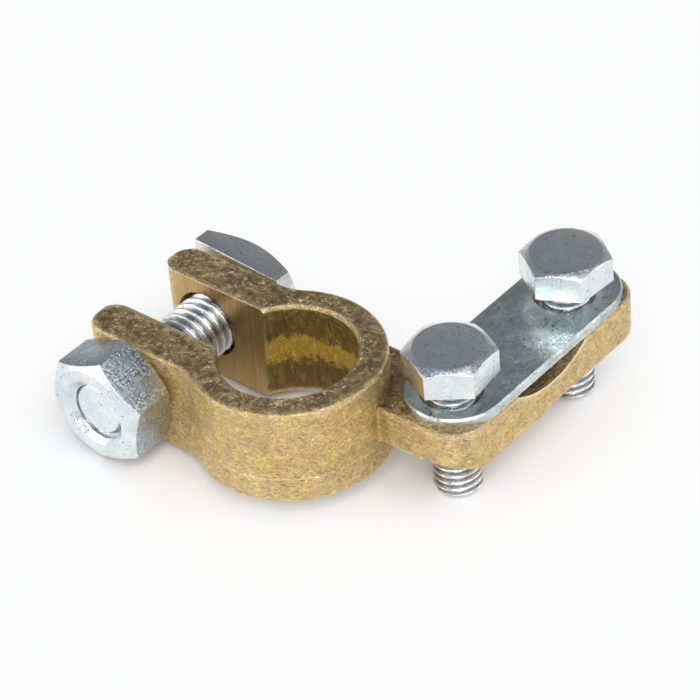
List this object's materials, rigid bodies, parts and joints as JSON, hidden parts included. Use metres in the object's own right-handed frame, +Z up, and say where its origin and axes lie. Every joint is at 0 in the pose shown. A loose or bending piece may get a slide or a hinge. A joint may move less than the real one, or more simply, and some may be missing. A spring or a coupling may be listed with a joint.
{
  "type": "battery terminal clamp",
  "caption": "Split brass ring clamp for a tapered battery post, closed by a cross bolt and nut, with a side foot that grips a bare cable under a screwed plate.",
  "frame": {"origin": "centre of the ring's lower face, on the axis of the battery post", "axes": "+Z up the post's axis to the ring's upper face, +X from the ring to the cable foot, the split ears on -X, the bolt head on +Y and the nut on -Y"},
  "size_m": [0.0484, 0.0546, 0.0211],
  "materials": {
    "cast_brass": "sand-cast brass with a mottled brown skin, ear faces machined",
    "zinc_steel": "bright zinc-plated steel"
  },
  "bodies": {
    "body": {"clamp_body": "cast_brass"},
    "clamp_bolt": {"clamp_bolt": "zinc_steel"},
    "clamp_nut": {"clamp_nut": "zinc_steel"},
    "plate": {"cable_plate": "zinc_steel"},
    "screw_near": {"cable_screw_near": "zinc_steel"},
    "screw_far": {"cable_screw_far": "zinc_steel"}
  },
  "joints": [
    {"name": "nut_turn", "type": "hinge", "parent": "body", "child": "clamp_nut", "pos_m": [-0.017, -0.0096, 0.0071], "axis": [0, -1, 0], "range_deg": [0, 1440]},
    {"name": "bolt_draw", "type": "slide", "parent": "body", "child": "clamp_bolt", "axis": [0, 1, 0], "range_m": [0, 0.005]},
    {"name": "plate_lift", "type": "slide", "parent": "body", "child": "plate", "axis": [0, 0, 1], "range_m": [0, 0.01]},
    {"name": "screw_near_turn", "type": "hinge", "parent": "plate", "child": "screw_near", "pos_m": [0.018, 0.0082, 0.01275], "axis": [0, 0, 1], "range_deg": [0, 3600]},
    {"name": "screw_far_turn", "type": "hinge", "parent": "plate", "child": "screw_far", "pos_m": [0.0183, 0.0304, 0.01275], "axis": [0, 0, 1], "range_deg": [0, 3600]}
  ],
  "couplings": [
    {"joint": "nut_turn", "follows": "bolt_draw", "rad_per_m": 5026.5},
    {"joint": "screw_near_turn", "follows": "plate_lift", "rad_per_m": 6283.2},
    {"joint": "screw_far_turn", "follows": "plate_lift", "rad_per_m": 6283.2}
  ]
}
